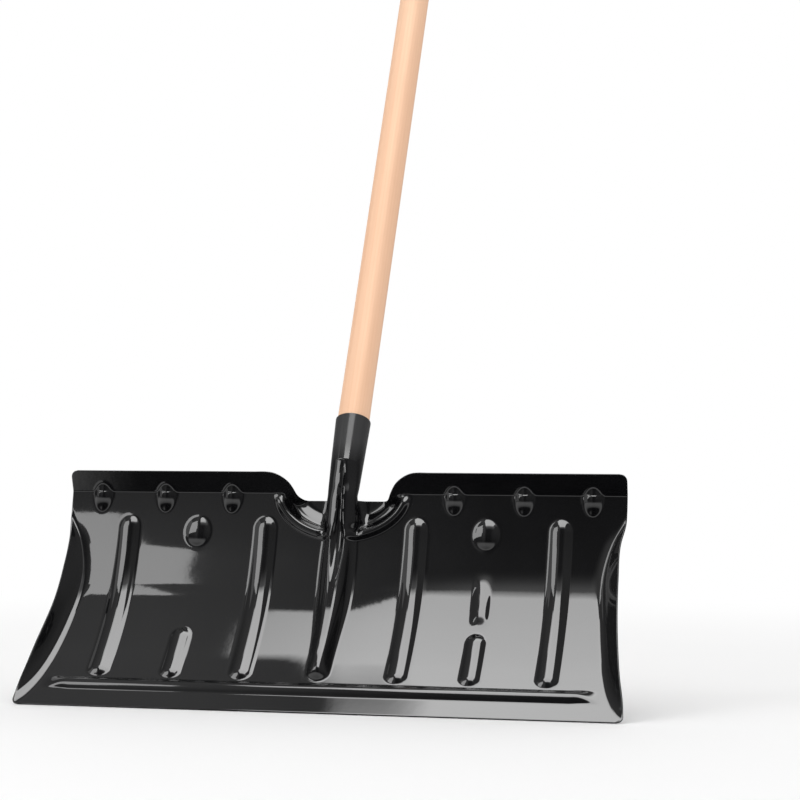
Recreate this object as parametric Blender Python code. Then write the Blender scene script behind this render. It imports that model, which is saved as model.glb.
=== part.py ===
"""Snow pusher: pressed sheet-steel blade with a rolled socket, a wooden handle and its fixing screw.

Frame: origin at the middle of the cutting edge, +X along the edge, the hollow front of the
blade faces -Y, +Z up.  The handle leans back, towards +Y.
Lengths are in millimetres and angles in degrees; meshes are turned into metres when made.

Words used throughout:
  run     developed height on the sheet, measured along it from the cutting edge
  level   height of the pressed relief above the plain bent sheet, positive towards the front
  column  sideways coordinate of the sheet's grid, equal to x on the plain middle of the blade
  along   distance along the handle's axis from the socket mouth, positive upwards
  ratio   distance from the middle of a feature, 1 at its rim
Tables of pairs give (place, value); the place is a run unless the comment says otherwise.
"""
import math
import bpy
import numpy as np

MM = 0.001

# ---------------------------------------------------------------- sheet and outline
SHEET = 1.4                 # thickness
HALF_W = 285.0              # half the blade's width at the top
TOP_RUN = 270.0             # run of the top edge
# lean of the sheet from the vertical; it creases forward at the top
LEAN = ((0, 49), (18, 49), (38, 47.2), (60, 46), (110, 38), (160, 24), (205, 14.5),
        (246.8, 9.1), (249.8, -18), (300, -18))
HALF_WIDTH = ((0, 297.0), (20, 294.6), (45, 290.0), (80, 285.6), (120, 282.0), (160, 280.4),
              (200, 280.5), (222, 284.4), (250, HALF_W), (300, HALF_W))
LOW_CORNER_R, TOP_CORNER_R = 6.0, 7.0
STRETCH_X = 250.0           # columns beyond this are stretched to follow the side edge
SQUEEZE_RUN = 200.0         # rows above this are squeezed to follow the notch

# notch in the top edge: (x, run of the edge)
NOTCH_RUN = 243.0
NOTCH_FLAT = 40.0           # half width of its flat bottom
NOTCH_HALF_W = 77.0         # half its width at the top edge
NOTCH_EDGE = ((36, NOTCH_RUN), (NOTCH_FLAT, NOTCH_RUN), (44, NOTCH_RUN + 0.6), (47, 245.6),
              (49.3, 249), (51.3, 253), (54, 257.5), (58, 261.8), (62.5, 265.2), (67, 267.7),
              (72, 269.4), (NOTCH_HALF_W, TOP_RUN), (90, TOP_RUN), (400, TOP_RUN))

# ---------------------------------------------------------------- pressed features
ARCH_KNEE = 0.75            # ratio where an arch is steepest
RIB_LOW, RIB_HIGH = 38.0, 226.0
RIB_HALF_W, RIB_H = 13.0, 3.6
SHORT_RIB_X = 148.0
SHORT_RIB_HIGH = 104.5
# x, run of the upper end, half width, height
RIBS = ((77.5, RIB_HIGH, RIB_HALF_W, RIB_H),
        (SHORT_RIB_X, SHORT_RIB_HIGH, 11.8, 0.92 * RIB_H),
        (221.5, RIB_HIGH, RIB_HALF_W, RIB_H))
RIB_LOW_BLUNT, RIB_HIGH_BLUNT = 1.2, 0.9    # half width over length of the rounded ends
RIDGE_HALF_W, RIDGE_H = 10.8, 2.3
DIMPLE_RUN, DIMPLE_HALF_W, DIMPLE_HALF_L, DIMPLE_H = 208.0, 15.5, 18.5, 3.4
BEAD_RUN, BEAD_HALF_W, BEAD_H = 29.0, 9.0, 4.0
BEAD_END, BEAD_FADE = 276.0, 30.0           # x of its end, and the length that fades
BEAD_SINK = 5.5                             # how far its end drops towards the edge
DART_X = (114.2, 184.3, 252.1)
DART_RUN, DART_HALF_W, DART_L, DART_H = 245.5, 10.0, 18.0, 4.4
DART_BEND, DART_FALL = 248.3, 0.48          # above this run it loses this much height per mm

# shoulders: an elliptical bead, with plates sunk behind the blade inside it
SHOULDER_RUN, SHOULDER_RX, SHOULDER_RS = 250.0, 65.0, 45.0
SHOULDER_BEAD_HALF_W, SHOULDER_BEAD_H = 7.0, 3.2
SHOULDER_DROP = 17.0
SHOULDER_FIRST_DROP = 12.0                  # part of the drop taken by the steep first step

# side wings: where the sheet folds forward (x), and how far its side edge comes forward
FOLD = ((0, 298), (10, 294), (20, 290), (33, 286), (51, 282.2), (70, 278.3), (91, 274),
        (108, 271), (125, 268.3), (140, 266), (157, 264.5), (171, 265.5), (188, 269.5),
        (203, 274.5), (217, 281.3), (224, 286), (240, 289), (300, 292))
FORWARD = ((0, 0), (8, 1.8), (20, 5.5), (35, 10), (50, 13.8), (70, 17), (95, 17.6), (120, 16.8),
           (145, 16), (165, 14.5), (190, 11.5), (205, 7), (216, 2), (224, 0), (300, 0))
FOLD_EASE, FORWARD_EASE = 7.0, 5.0          # width of the bell curves that ease the tables
FOLD_HALF_W = ((0, 14.0), (60, 13.0), (110, 9.0), (160, 4.0), (300, 4.0))
# slope of a slight bend that begins before the fold
EARLY_BEND = ((0, 0.0), (120, 0.0), (150, 0.10), (200, 0.10), (224, 0.0), (300, 0.0))

# spine up the middle of the blade, with a tear-drop hollow in it below the socket
SPINE_HALF_W = ((30, 11.5), (47, 13), (92, 15.5), (137, 19.5), (180, 20.5), (205, 19.5),
                (240, 19))
SPINE_H = ((36, 3.0), (50, 8.5), (92, 11), (140, 12), (180, 12), (205, 10.5), (222, 9.5),
           (NOTCH_RUN, 8.5))
GROOVE_DEPTH = ((150, 0), (160, 0.8), (175, 3), (190, 5), (205, 5.5), (219, 4),
                (NOTCH_RUN, 3.2))
GROOVE_HALF_W = ((150, 7), (175, 9), (190, 10), (205, 9), (219, 5.2), (NOTCH_RUN, 3.4))
GROOVE_FLAT = 0.08

# ---------------------------------------------------------------- throat and socket
TONGUE = 18.0               # half width of the strip that is rolled into the socket
THROAT = 24.0               # half width of the throat where socket and shoulders meet
THROAT_RUN = 196.0          # where the spine starts to round up into the socket
THROAT_FULL_RUN = 222.0     # where the throat's section has fully replaced the spine's
THROAT_RADIUS = ((THROAT_RUN, 17.5), (NOTCH_RUN, 15.6))
THROAT_MIDDLE = ((THROAT_RUN, 1.0), (NOTCH_RUN, -1.0))      # level of the arc's centre
THROAT_ANGLE = ((THROAT_RUN, 78), (216, 92), (NOTCH_RUN, 118))  # where the arc ends
ARC_SHARE = 0.68            # share of the throat's columns on the arc
THROAT_REACH = 13.0         # straight lead-in at both ends of the bend into the socket

HANDLE_LEAN = 29.0          # from the vertical
MOUTH = np.array((0.0, 168.6, 278.1))       # centre of the socket mouth
MOUTH_R = 17.9              # socket outer radius at the mouth
SOCKET_TAPER = 0.030        # radius lost per mm down the socket
SEAM = 178.4                # half the socket's wrap: the butt seam is at the back
LOW_RING = -78.0            # lowest ring that stands square to the handle
# the socket's front is flattened and grooved below PRESS_TOP: (along, value)
PRESS_TOP = -52
SOCKET_PRESS = ((-96, 9.2), (-78, 6.2), (-66, 3.6), (-56, 1.3), (-53.5, 0.6), (PRESS_TOP, 0),
                (0, 0))
SOCKET_GROOVE_DEPTH = ((-96, 3.2), (-78, 2.8), (-66, 2.0), (-57, 0.8), (PRESS_TOP, 0), (0, 0))
SOCKET_GROOVE_HALF_W = ((-96, 3.4), (-78, 3.0), (-66, 2.6), (PRESS_TOP, 2.2), (0, 2.2))

X_AXIS = np.array((1.0, 0.0, 0.0))
LEAN_ANGLE = math.radians(HANDLE_LEAN)
AXIS = np.array((0.0, math.sin(LEAN_ANGLE), math.cos(LEAN_ANGLE)))      # up the handle
FRONT = np.array((0.0, -math.cos(LEAN_ANGLE), math.sin(LEAN_ANGLE)))    # square to it

# ---------------------------------------------------------------- grid of the pressing
TONGUE_COLUMNS = 12         # from the middle to the tongue's edge
OUTER_COLUMNS = (
    21.0, THROAT, 29, 35, 41, 46, 49, 51.5, 54.5, 58, 62, 66, 70.5, 77.5, 84.5, 89, 92,
    104, 109, 114.2, 119.4, 124.4, 133, 138, 143, 148, 153, 158, 163.5,
    174.5, 179.5, 184.3, 189, 194, 208.5, 213, 217, 221.5, 226, 230, 234.5,
    243, 252.1, 257, 262, 267, 272.5, 279, HALF_W)
ROWS = (0, 3.5, 9, 16, 22, 29, 36, 43, 50, 62, 80, 92, 104, 122, 140, 158, 176, 190, 200, 209,
        218, 227, 236, 243, 247, 250.5, 256, 263, 267.5, TOP_RUN)
THROAT_STEPS = (0.34, 0.67)
RINGS = (LOW_RING, -70, -62, -54, -46, -26, 0)

# ---------------------------------------------------------------- handle and screw
HANDLE_R = 16.2
HANDLE_TOP = 1129.0         # above the socket mouth
HANDLE_IN = 52.0            # inside the socket
HANDLE_GAP = 0.5            # between handle and socket
HANDLE_TIP_L, HANDLE_TIP_INSET = 3.0, 2.0   # tapered lower end
HANDLE_ROUND_L, HANDLE_ROUND_INSET = 8.0, 5.0   # rounded top end
HANDLE_SEGMENTS = 28

SCREW_ALONG = -26.0
SCREW_AROUND = 150.0        # angle round the socket, from the front towards -X
SCREW_LIFT = 0.3            # seat above the socket surface
SCREW_SEGMENTS = 16
SCREW_TIP, SHANK_R, HEAD_R = -21.0, 2.0, 4.2
# (distance outwards from the seat, radius)
SCREW_PROFILE = ((SCREW_TIP, 0.5), (-17.0, SHANK_R), (0.0, SHANK_R), (0.0, HEAD_R),
                 (0.9, HEAD_R), (1.9, 3.5), (2.5, 2.0))
HOLE_R, HOLE_OUT = 2.5, 1.5                 # hole radius, and how far its cutter stands out
SOCKET_HOLE_DEPTH = 3.2
PILOT_DEPTH = 2.0 - SCREW_TIP               # 2 mm past the screw's tip


# ---------------------------------------------------------------- curves
def step(x):
    """Smooth step from 0 to 1."""
    x = np.clip(x, 0.0, 1.0)
    return x * x * x * (10.0 - 15.0 * x + 6.0 * x * x)


def table(stations, at):
    """Straight lines between stations."""
    stations = np.array(stations, float)
    return np.interp(at, stations[:, 0], stations[:, 1])


def smooth_table(stations, at):
    """Cubic curve through the stations, with an eased slope at each."""
    place, value = np.array(stations, float).T
    slope = np.gradient(value, place)
    i = np.clip(np.searchsorted(place, at, side="right") - 1, 0, len(place) - 2)
    gap = place[i + 1] - place[i]
    part = np.clip((at - place[i]) / gap, 0, 1)
    return ((2 * part ** 3 - 3 * part ** 2 + 1) * value[i]
            + (part ** 3 - 2 * part ** 2 + part) * gap * slope[i]
            + (-2 * part ** 3 + 3 * part ** 2) * value[i + 1]
            + (part ** 3 - part ** 2) * gap * slope[i + 1])


def eased(stations, sigma):
    """Table rounded off with a bell curve, as a pair of arrays for np.interp."""
    at = np.arange(-40.0, 341.0, 1.0)
    reach = 24
    bell = np.exp(-0.5 * (np.arange(-reach, reach + 1.0) / sigma) ** 2)
    padded = np.pad(table(stations, at), reach, mode="edge")
    return at, np.convolve(padded, bell / bell.sum(), "valid")


def hat(ratio, flat):
    """Section with a flat crest out to the ratio flat, and a sloping flank."""
    return step((1.0 - np.abs(ratio)) / (1.0 - flat))


def arch(ratio):
    """Section with a rounded crest, steepest at the knee, and a small foot."""
    knee = ARCH_KNEE
    ratio = np.minimum(np.abs(ratio), 1.0)
    side = knee * (1.0 - knee)
    part = np.clip((ratio - knee) / (1.0 - knee), 0.0, 1.0)
    area = (0.5 * np.maximum(knee * knee - ratio * ratio, 0.0)
            + side * (0.5 - (part - part ** 3 + 0.5 * part ** 4)))
    return area / (0.5 * knee * knee + 0.5 * side)


def soft_positive(value, ease):
    """The positive part of value, with its corner rounded over 2 * ease."""
    rounded = (value + ease) ** 2 / (4.0 * ease)
    return np.where(value > ease, value, np.where(value < -ease, 0.0, rounded))


def bezier(part, start, control_1, control_2, end):
    """Cubic Bezier curve."""
    rest = 1 - part
    return (rest ** 3 * start + 3 * part * rest ** 2 * control_1
            + 3 * part * part * rest * control_2 + part ** 3 * end)


# ---------------------------------------------------------------- the blade's middle profile
PROFILE_RUN = np.linspace(0.0, 300.0, 3001)
PROFILE_LEAN = np.radians(table(LEAN, PROFILE_RUN))


def profile_sum(slope):
    """Running integral of slope up the profile."""
    pieces = 0.5 * (slope[1:] + slope[:-1]) * np.diff(PROFILE_RUN)
    return np.concatenate([[0.0], np.cumsum(pieces)])


# the front surface: it starts half a thickness in front of the origin
PROFILE_Y = -0.5 * SHEET * math.cos(PROFILE_LEAN[0]) + profile_sum(np.sin(PROFILE_LEAN))
PROFILE_Z = 0.5 * SHEET * math.sin(PROFILE_LEAN[0]) + profile_sum(np.cos(PROFILE_LEAN))


def on_profile(run):
    """y and z of the profile, and y and z of its normal towards the front."""
    lean = np.radians(table(LEAN, run))
    return (np.interp(run, PROFILE_RUN, PROFILE_Y), np.interp(run, PROFILE_RUN, PROFILE_Z),
            -np.cos(lean), np.sin(lean))


# ---------------------------------------------------------------- outline of the sheet
def corner_inset(distance, radius):
    """Width lost to a rounded corner at a distance from its end of the side edge."""
    inset = radius - np.sqrt(np.maximum(radius * radius - (radius - distance) ** 2, 0))
    return np.where(distance < radius, inset, 0)


def edge_x(run):
    """Half width of the sheet, with rounded corners."""
    return (smooth_table(HALF_WIDTH, run) - corner_inset(run, LOW_CORNER_R)
            - corner_inset(TOP_RUN - run, TOP_CORNER_R))


def top_edge(x):
    """Run of the sheet's upper edge at x, following the notch."""
    x = np.abs(x)
    return np.where(x < NOTCH_FLAT, NOTCH_RUN, smooth_table(NOTCH_EDGE, x))


# ---------------------------------------------------------------- levels of the pressed relief
# x is the distance from the middle plane, 0 or more, except where noted
def shoulder_distance(x, run):
    """Signed distance from the shoulder bead's centre line, positive towards the notch."""
    below = np.minimum(run - SHOULDER_RUN, 0)
    radius = np.sqrt((x / SHOULDER_RX) ** 2 + (below / SHOULDER_RS) ** 2)
    gradient = (np.sqrt((x / SHOULDER_RX ** 2) ** 2 + (below / SHOULDER_RS ** 2) ** 2)
                / np.maximum(radius, 1e-6))
    return (1.0 - radius) / np.maximum(gradient, 1e-6)


def plate(x, run):
    """Shoulder beads and sunken shoulder plates."""
    inside = shoulder_distance(x, run)
    fade = 1.0 - step((run - 236.0) / 14.0) * step((x - 38.0) / 12.0)
    shoulder_bead = SHOULDER_BEAD_H * hat(inside / SHOULDER_BEAD_HALF_W, 0.15)
    drop = (SHOULDER_FIRST_DROP * step((inside - 1.0) / 11.0)
            + (SHOULDER_DROP - SHOULDER_FIRST_DROP) * step((inside - 8.0) / 18.0))
    return (shoulder_bead - drop) * fade


EASED_FOLD = eased(FOLD, FOLD_EASE)
EASED_FORWARD = eased(FORWARD, FORWARD_EASE)


def wing(x, run):
    """Side of the blade folded forward."""
    fold = np.interp(run, *EASED_FOLD)
    half_w = table(FOLD_HALF_W, run)
    early = table(EARLY_BEND, run)

    def roll(beyond):
        part = np.clip((beyond + half_w) / (2.0 * half_w), 0.0, 1.0)
        return (2.0 * half_w * (part ** 3 - 0.5 * part ** 4) + np.maximum(beyond - half_w, 0.0)
                + early * soft_positive(beyond + 9.0, 4.0))

    forward = np.interp(run, *EASED_FORWARD)
    return forward * roll(x - fold) / np.maximum(roll(edge_x(run) - fold), 0.5)


def rib(x, run, middle, high, half_w, height):
    """Upright rib with rounded ends."""
    over_low = (RIB_LOW + half_w / RIB_LOW_BLUNT - run) * RIB_LOW_BLUNT
    over_high = (run - high + half_w / RIB_HIGH_BLUNT) * RIB_HIGH_BLUNT
    over = np.maximum(np.maximum(over_low, over_high), 0.0)
    return height * arch(np.sqrt((x - middle) ** 2 + over ** 2) / half_w)


def ridge(x, run):
    """Low swelling above the short rib on the +X side only; x is signed."""
    fade = (step((run - (SHORT_RIB_HIGH + 2.0)) / 20.0)
            * (1.0 - step((run - 128.0) / 46.0)))
    return RIDGE_H * fade * arch((x - SHORT_RIB_X) / RIDGE_HALF_W)


def dimple(x, run):
    """Oval dimple above the short rib."""
    return DIMPLE_H * arch(np.sqrt(((x - SHORT_RIB_X) / DIMPLE_HALF_W) ** 2
                                   + ((run - DIMPLE_RUN) / DIMPLE_HALF_L) ** 2))


def dart(x, run):
    """Short dart that runs up the sheet and into the flange above the crease."""
    up = soft_positive(run - DART_BEND, 1.5)
    low = np.maximum(DART_RUN - run, 0.0) / DART_L
    level = DART_H * (1.0 - (x / DART_HALF_W) ** 2 - low ** 2) - DART_FALL * up
    return soft_positive(level, 0.9)


def bead(x, run):
    """Bead along the cutting edge; near its ends it sinks towards the edge and fades."""
    end = np.clip((x - (BEAD_END - BEAD_FADE)) / BEAD_FADE, 0.0, 1.0)
    above = run - (BEAD_RUN - BEAD_SINK * end ** 2)
    half_w = BEAD_HALF_W * np.where(above > 0, 1.0 + 0.5 * end, 1.0 - 0.62 * end)
    return BEAD_H * (1.0 - step(end)) * arch(above / half_w)


def relief(x, run):
    """Everything but spine and throat; x is signed."""
    side = np.abs(x)
    features = [ridge(x, run), dimple(side, run), bead(side, run)]
    features += [rib(side, run, *sizes) for sizes in RIBS]
    features += [dart(side - middle, run) for middle in DART_X]
    return plate(side, run) + np.maximum.reduce(features) + wing(side, run)


def spine_height(run):
    return smooth_table(SPINE_H, run)


def spine_share(x, run):
    """How far the spine replaces the relief, 0 to 1; its low end is rounded."""
    over = np.maximum(50.0 - run, 0) * 1.15
    ratio = np.sqrt((x / smooth_table(SPINE_HALF_W, run)) ** 2 + (over / 13.0) ** 2)
    end = step((72.0 - run) / 24.0)
    return hat(ratio, 0.12) * (1.0 - end) + arch(ratio) * end


def groove(x, run):
    """Tear-drop shaped hollow pressed into the spine below the socket."""
    half_w = smooth_table(GROOVE_HALF_W, run)
    return smooth_table(GROOVE_DEPTH, run) * hat(x / half_w, GROOVE_FLAT)


# ---------------------------------------------------------------- surfaces
def throat_section(column, run):
    """x and level of the half section: an arc, then a curve out to the shoulder plate."""
    radius = table(THROAT_RADIUS, run)
    middle = table(THROAT_MIDDLE, run)
    crest = spine_height(run) - middle
    end_angle = np.radians(table(THROAT_ANGLE, run))
    ratio = column / THROAT

    def on_arc(angle):
        lift = np.where(angle < math.pi / 2, crest, radius)
        return radius * np.sin(angle), middle + lift * np.cos(angle), lift

    arc_x, arc_level, _ = on_arc(end_angle * np.minimum(ratio / ARC_SHARE, 1.0))
    start_x, start_level, lift = on_arc(end_angle)
    end_level = plate(THROAT, run)
    slope_x, slope_level = radius * np.cos(end_angle), -lift * np.sin(end_angle)
    slope = np.hypot(slope_x, slope_level)
    reach = 0.45 * np.hypot(THROAT - start_x, end_level - start_level)
    part = np.clip((ratio - ARC_SHARE) / (1 - ARC_SHARE), 0, 1)
    curve_x = bezier(part, start_x, start_x + slope_x / slope * reach,
                     THROAT - 0.55 * (THROAT - start_x), THROAT)
    curve_level = bezier(part, start_level, start_level + slope_level / slope * reach,
                         end_level, end_level)
    in_arc = ratio < ARC_SHARE
    return np.where(in_arc, arc_x, curve_x), np.where(in_arc, arc_level, curve_level)


def blade_point(column, run):
    """Point of the front surface."""
    column, run = np.broadcast_arrays(np.asarray(column, float), np.asarray(run, float))
    side, sign = np.abs(column), np.sign(column)
    stretch = (edge_x(run) - STRETCH_X) / (HALF_W - STRETCH_X)
    x = np.where(side > STRETCH_X, STRETCH_X + (side - STRETCH_X) * stretch, side)
    share = spine_share(side, run)
    level = relief(sign * x, run) * (1 - share) + spine_height(run) * share

    throat_x, throat_level = throat_section(np.minimum(side, THROAT), run)
    in_throat = side <= THROAT
    blend = np.where(in_throat, step((run - THROAT_RUN) / (THROAT_FULL_RUN - THROAT_RUN)), 0.0)
    x = x * (1 - blend) + np.where(in_throat, throat_x, x) * blend
    level = level * (1 - blend) + np.where(in_throat, throat_level, level) * blend
    level = level - groove(x, run)
    y, z, normal_y, normal_z = on_profile(run)
    return np.stack([sign * x, y + normal_y * level, z + normal_z * level], -1)


def socket_r(along):
    return MOUTH_R + SOCKET_TAPER * along


def socket_point(column, along):
    """Point of the socket's outer surface, for columns -TONGUE to TONGUE."""
    column, along = np.broadcast_arrays(np.asarray(column, float), np.asarray(along, float))
    angle = np.radians(SEAM) * column / TONGUE
    radius = socket_r(along)
    x = radius * np.sin(angle)
    press = smooth_table(SOCKET_PRESS, along)
    hollow = (smooth_table(SOCKET_GROOVE_DEPTH, along)
              * hat(x / smooth_table(SOCKET_GROOVE_HALF_W, along), GROOVE_FLAT))
    pressed = (np.cos(angle) > 0) & (along < PRESS_TOP)
    forward = np.where(pressed, (radius - press) * np.cos(angle) - hollow,
                       radius * np.cos(angle))
    return MOUTH + along[..., None] * AXIS + forward[..., None] * FRONT + x[..., None] * X_AXIS


def throat_to_ring(column, share):
    """Blends from the top of the throat (share 0) to the first square ring (share 1)."""
    _, _, normal_y, normal_z = on_profile(NOTCH_RUN)
    up_sheet = np.array((0.0, normal_z, -normal_y))
    from_low = blade_point(column, NOTCH_RUN) + share * THROAT_REACH * up_sheet
    from_high = socket_point(column, LOW_RING) - (1 - share) * THROAT_REACH * AXIS
    blend = step(share)
    return from_low * (1 - blend) + from_high * blend


# ---------------------------------------------------------------- grid of the pressing
def sheet_columns():
    half = list(np.linspace(0.0, TONGUE, TONGUE_COLUMNS)) + list(OUTER_COLUMNS)
    return np.array([-column for column in half[:0:-1]] + half, float)


def row_run(row, top):
    """Run of a row at every column, squeezed below the top edge."""
    if row <= SQUEEZE_RUN:
        return row
    return SQUEEZE_RUN + (row - SQUEEZE_RUN) / (TOP_RUN - SQUEEZE_RUN) * (top - SQUEEZE_RUN)


def grid_quads(ids):
    """Quads between neighbouring rows of point numbers."""
    return [(low[i], low[i + 1], high[i + 1], high[i])
            for low, high in zip(ids, ids[1:]) for i in range(len(low) - 1)]


def sheet_grid():
    """Front surface of the whole pressing as points and quads."""
    columns = sheet_columns()
    top = top_edge(columns)
    in_tongue = np.abs(columns) <= TONGUE
    tongue = columns[in_tongue]
    blade_rows = [blade_point(columns, row_run(row, top)) for row in ROWS]
    tongue_rows = [throat_to_ring(tongue, share) for share in THROAT_STEPS]
    tongue_rows += [socket_point(tongue, along) for along in RINGS]

    blade_count = len(ROWS) * len(columns)
    blade_ids = np.arange(blade_count).reshape(len(ROWS), -1)
    tongue_ids = blade_count + np.arange(len(tongue_rows) * len(tongue))
    tongue_ids = np.vstack([blade_ids[-1, in_tongue], tongue_ids.reshape(-1, len(tongue))])
    quads = grid_quads(blade_ids) + grid_quads(tongue_ids)
    return np.vstack(blade_rows + tongue_rows), np.array(quads)


def thicken(points, quads, thickness):
    """Closes a front surface into a sheet of the given thickness behind it."""
    corners = points[quads]
    face_normals = np.cross(corners[:, 2] - corners[:, 0], corners[:, 3] - corners[:, 1])
    face_normals /= np.linalg.norm(face_normals, axis=1)[:, None]
    normals = np.zeros_like(points)
    for k in range(4):
        np.add.at(normals, quads[:, k], face_normals)
    normals /= np.linalg.norm(normals, axis=1)[:, None]

    count = len(points)
    fronts = [tuple(quad) for quad in quads.tolist()]
    backs = [tuple(i + count for i in quad[::-1]) for quad in fronts]
    edges = [edge for quad in fronts for edge in zip(quad, quad[1:] + quad[:1])]
    known = set(edges)
    rims = [(j, i, i + count, j + count) for i, j in edges if (j, i) not in known]
    return np.vstack([points, points - normals * thickness]), fronts + backs + rims


# ---------------------------------------------------------------- scene helpers
def clear():
    for ob in list(bpy.data.objects):
        bpy.data.objects.remove(ob, do_unlink=True)


def material(name, color, metallic, roughness):
    mat = bpy.data.materials.new(name)
    mat.use_nodes = True
    inputs = mat.node_tree.nodes["Principled BSDF"].inputs
    inputs["Base Color"].default_value = (*color, 1.0)
    inputs["Metallic"].default_value = metallic
    inputs["Roughness"].default_value = roughness
    return mat


def bare_object(name, verts, faces):
    mesh = bpy.data.meshes.new(name)
    mesh.from_pydata([tuple(float(v) * MM for v in point) for point in verts], [], faces)
    mesh.validate(clean_customdata=False)
    mesh.update()
    ob = bpy.data.objects.new(name, mesh)
    bpy.context.scene.collection.objects.link(ob)
    return ob


def finished_object(name, verts, faces, mat):
    ob = bare_object(name, verts, faces)
    ob.data.shade_smooth()
    ob.data.set_sharp_from_angle(angle=math.radians(35.0))
    ob.data.materials.append(mat)
    return ob


def lathe(profile, origin, axis, segments):
    """Closed turned body; profile is (distance along the unit axis, radius) from end to end."""
    across = np.cross(axis, X_AXIS)
    across /= np.linalg.norm(across)
    other = np.cross(axis, across)
    angles = [2 * math.pi * k / segments for k in range(segments)]
    verts = [origin + distance * axis + radius * (math.cos(a) * across + math.sin(a) * other)
             for distance, radius in profile for a in angles]
    faces = []
    last = (len(profile) - 1) * segments
    for low in range(0, last, segments):
        for k in range(segments):
            after = (k + 1) % segments
            faces.append((low + k, low + after, low + segments + after, low + segments + k))
    faces.append(tuple(range(segments))[::-1])
    faces.append(tuple(range(last, last + segments)))
    return verts, faces


def cut_hole(name, target, depth, seat, outward):
    """Round hole cut into target by a hidden cylinder."""
    profile = ((-depth, HOLE_R), (HOLE_OUT, HOLE_R))
    ob = bare_object(name, *lathe(profile, seat, outward, SCREW_SEGMENTS))
    ob.hide_render = True
    ob.display_type = "WIRE"
    mod = target.modifiers.new("hole", "BOOLEAN")
    mod.operation = "DIFFERENCE"
    mod.solver = "EXACT"
    mod.object = ob


# ---------------------------------------------------------------- pieces
def make_blade():
    paint = material("black_gloss_paint", color=(0.012, 0.012, 0.014), metallic=0.0,
                     roughness=0.12)
    return finished_object("blade", *thicken(*sheet_grid(), SHEET), paint)


def make_handle():
    wood = material("turned_wood", color=(0.80, 0.52, 0.34), metallic=0.0, roughness=0.5)

    def fit(along):
        return socket_r(along) - SHEET - HANDLE_GAP

    tip = -HANDLE_IN + HANDLE_TIP_L
    profile = [(-HANDLE_IN, fit(-HANDLE_IN) - HANDLE_TIP_INSET), (tip, fit(tip)),
               (-20.0, fit(-20.0)), (0.0, fit(0.0)), (6.0, HANDLE_R), (400.0, HANDLE_R)]
    for angle in map(math.radians, (0, 30, 60, 90)):
        profile.append((HANDLE_TOP - HANDLE_ROUND_L + HANDLE_ROUND_L * math.sin(angle),
                        HANDLE_R - HANDLE_ROUND_INSET * (1 - math.cos(angle))))
    return finished_object("handle", *lathe(profile, MOUTH, AXIS, HANDLE_SEGMENTS), wood)


def make_screw(seat, outward):
    zinc = material("zinc_screw", color=(0.55, 0.56, 0.58), metallic=1.0, roughness=0.35)
    body = lathe(SCREW_PROFILE, seat, outward, SCREW_SEGMENTS)
    finished_object("socket_screw", *body, zinc)


def build():
    clear()
    blade = make_blade()
    handle = make_handle()
    around = math.radians(SCREW_AROUND)
    outward = -math.sin(around) * X_AXIS + math.cos(around) * FRONT
    seat = MOUTH + SCREW_ALONG * AXIS + (socket_r(SCREW_ALONG) + SCREW_LIFT) * outward
    make_screw(seat, outward)
    cut_hole("cut_socket_hole", blade, SOCKET_HOLE_DEPTH, seat, outward)
    cut_hole("cut_pilot_hole", handle, PILOT_DEPTH, seat, outward)


build()
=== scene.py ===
"""Looks of the snow pusher: pressed and painted steel blade, turned wood handle, plated screw.

The blade stands on its bottom edge and spans X; its front faces -Y and the handle leans back
towards +Y.  Geometry is in millimetres and is scaled to metres as meshes are made.  On the sheet,
"col" is the station across it (X before pressing) and "run" the length up it from the bottom edge.
On the socket and handle, "along" is the distance up their axis from the socket's mouth.
"""
import math

import bpy
import numpy as np
from mathutils import Matrix, Vector


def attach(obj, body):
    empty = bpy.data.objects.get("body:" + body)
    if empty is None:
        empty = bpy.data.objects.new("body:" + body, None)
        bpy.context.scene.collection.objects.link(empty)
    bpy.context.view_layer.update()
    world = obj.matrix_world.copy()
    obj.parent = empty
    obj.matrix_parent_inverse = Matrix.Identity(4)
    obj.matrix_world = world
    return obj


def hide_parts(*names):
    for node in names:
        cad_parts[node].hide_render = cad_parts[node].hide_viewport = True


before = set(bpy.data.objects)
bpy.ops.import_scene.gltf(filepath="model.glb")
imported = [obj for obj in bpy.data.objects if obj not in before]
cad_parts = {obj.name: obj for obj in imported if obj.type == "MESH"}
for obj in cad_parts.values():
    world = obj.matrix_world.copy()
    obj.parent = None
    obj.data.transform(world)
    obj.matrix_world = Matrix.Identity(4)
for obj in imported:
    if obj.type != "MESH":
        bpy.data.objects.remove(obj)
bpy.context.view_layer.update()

MM = 0.001
SCENE = bpy.context.scene

# ---------------------------------------------------------------- sizes of the sheet
SHEET = 1.4                       # thickness
HALF_W = 285.0
TOP_RUN = 270.0
TOP_BEND = (246.8, 249.8)         # runs where the top edge turns forward
LEAN = (                          # run, backward lean in degrees
    (0, 49), (18, 49), (38, 47.2), (60, 46), (110, 38), (160, 24), (205, 14.5),
    (TOP_BEND[0], 9.1), (TOP_BEND[1], -18), (300, -18))
RIB_X = (77.5, 148.0, 221.5)
RIB_H = 3.6
RIB_LOW = 38.0
RIBS = (                          # middle x, top run, half width, height
    (RIB_X[0], 226.0, 13.0, RIB_H),
    (RIB_X[1], 104.5, 11.8, 0.92 * RIB_H),
    (RIB_X[2], 226.0, 13.0, RIB_H))
DIMPLE_RUN, DIMPLE_HALF_W, DIMPLE_HALF_L, DIMPLE_H = 208.0, 15.5, 18.5, 3.4
BEAD_RUN, BEAD_HALF_W, BEAD_H, BEAD_END = 29.0, 9.0, 4.0, 276.0
DART_X = (114.2, 184.3, 252.1)
DART_RUN, DART_HALF_W, DART_L, DART_H = 245.5, 10.0, 18.0, 4.4
NOTCH_RUN = 243.0                 # bottom of the notch in the top edge
NOTCH_HALF_W = 77.0
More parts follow.
